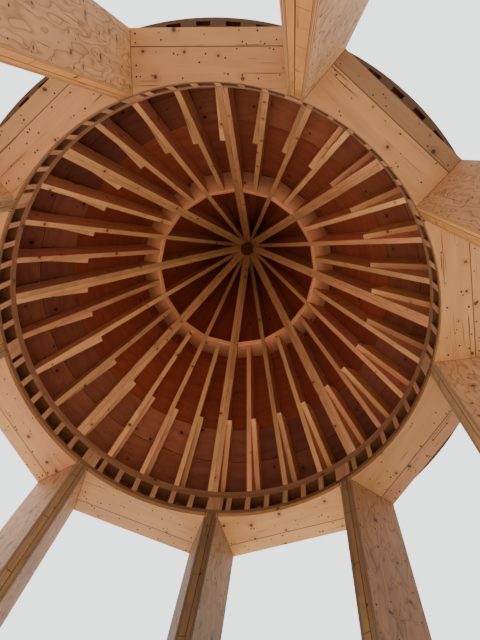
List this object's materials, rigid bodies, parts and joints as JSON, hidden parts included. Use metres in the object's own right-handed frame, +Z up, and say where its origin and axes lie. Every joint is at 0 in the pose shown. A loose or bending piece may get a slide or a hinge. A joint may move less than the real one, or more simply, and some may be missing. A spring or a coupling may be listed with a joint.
{
  "type": "round turret roof frame on posts",
  "caption": "Round timber turret with a bell-cast conical roof, open inside, its rafters meeting at an octagonal king post, carried on built-up posts and curved headers.",
  "frame": {"origin": "on the vertical axis of the turret, at the level of the posts' feet", "axes": "+Z up; +X along the single long rafter numbered 0; the first post stands 1.25 degrees from it, counterclockwise seen from above"},
  "size_m": [3.594, 3.594, 8.362],
  "materials": {
    "king_timber": "bare sawn timber",
    "rafter_timber": "bare sawn timber",
    "plate_timber": "bare sawn timber",
    "roof_boarding": "bare sawn timber",
    "block_timber": "bare sawn timber",
    "post_plywood": "bare plywood",
    "header_plank": "bare sawn timber"
  },
  "bodies": {
    "root": {"king_post": "king_timber", "long_rafters_1": "rafter_timber", "jack_rafters_1": "rafter_timber", "kick_rafters_1": "rafter_timber", "knee_wall_1": "plate_timber", "eave_wall_1": "plate_timber", "roof_boards_1": "roof_boarding", "long_rafters_2": "rafter_timber", "jack_rafters_2": "rafter_timber", "kick_rafters_2": "rafter_timber", "knee_wall_2": "plate_timber", "eave_wall_2": "plate_timber", "roof_boards_2": "roof_boarding", "long_rafters_3": "rafter_timber", "jack_rafters_3": "rafter_timber", "kick_rafters_3": "rafter_timber", "knee_wall_3": "plate_timber", "eave_wall_3": "plate_timber", "roof_boards_3": "roof_boarding", "long_rafters_4": "rafter_timber", "jack_rafters_4": "rafter_timber", "kick_rafters_4": "rafter_timber", "knee_wall_4": "plate_timber", "eave_wall_4": "plate_timber", "roof_boards_4": "roof_boarding", "ring_blocks": "block_timber", "post_1": "post_plywood", "header_1": "header_plank", "post_2": "post_plywood", "header_2": "header_plank", "post_3": "post_plywood", "header_3": "header_plank", "post_4": "post_plywood", "header_4": "header_plank", "post_5": "post_plywood", "header_5": "header_plank", "post_6": "post_plywood", "header_6": "header_plank", "post_7": "post_plywood", "header_7": "header_plank", "post_8": "post_plywood", "header_8": "header_plank", "post_9": "post_plywood", "header_9": "header_plank"}
  },
  "joints": []
}
